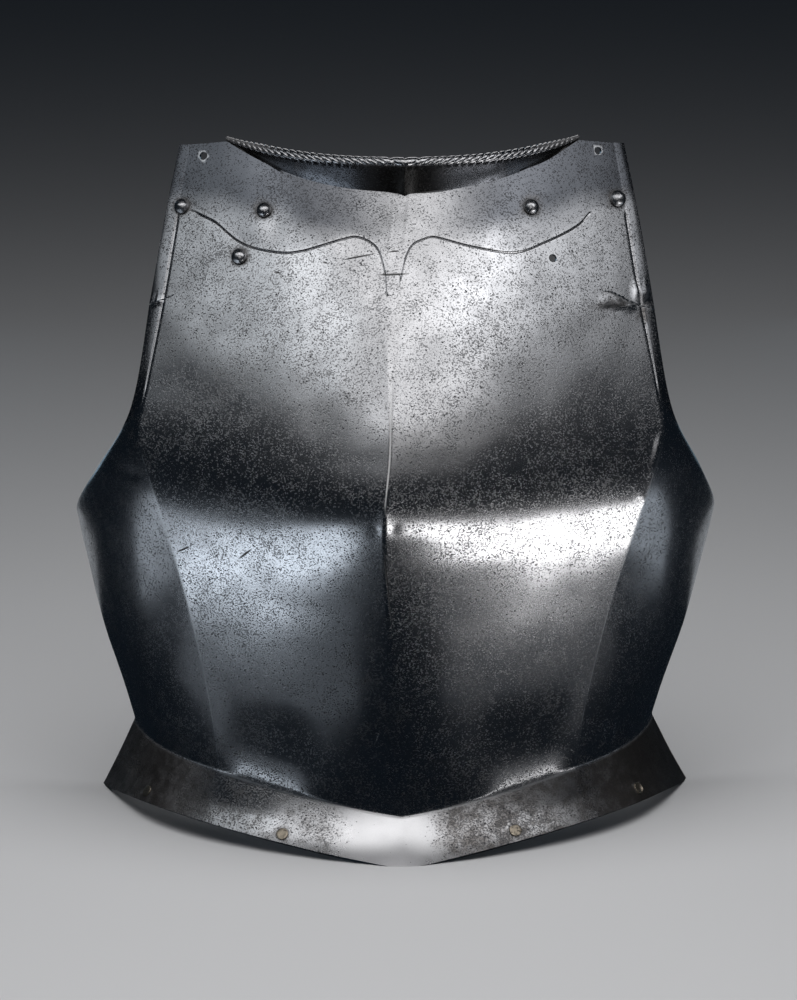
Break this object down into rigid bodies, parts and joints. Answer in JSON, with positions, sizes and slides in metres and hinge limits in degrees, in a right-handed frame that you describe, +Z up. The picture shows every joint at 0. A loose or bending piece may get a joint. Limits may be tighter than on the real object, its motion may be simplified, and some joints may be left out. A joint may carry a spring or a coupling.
{
  "type": "steel breastplate of a cuirass",
  "caption": "Hammered steel breastplate with a keel ridge rising to a blunt peak, side creases, a flared waist flange, a roped neck edge and strap rivets.",
  "frame": {"origin": "on the ground under the middle of the part's box, as it stands by itself on the point and the two rear corners of its waist flange", "axes": "+Z up towards the neck, -Y the way the chest faces, +X to the right as seen from the front"},
  "size_m": [0.3732, 0.1582, 0.3947],
  "materials": {
    "plate_steel": "old polished steel, finely pitted, with grey patina and brown stains at the edges",
    "rivet_steel": "polished steel domes with dark rims",
    "browned_steel": "dull browned steel"
  },
  "bodies": {
    "root": {"breastplate": "plate_steel", "rivet_shoulder_left": "rivet_steel", "rivet_strap_left": "rivet_steel", "rivet_chest_left": "rivet_steel", "rivet_strap_right": "rivet_steel", "rivet_shoulder_right": "rivet_steel", "rivet_waist_1": "browned_steel", "rivet_waist_2": "browned_steel", "rivet_waist_3": "browned_steel", "rivet_waist_4": "browned_steel"}
  },
  "joints": []
}
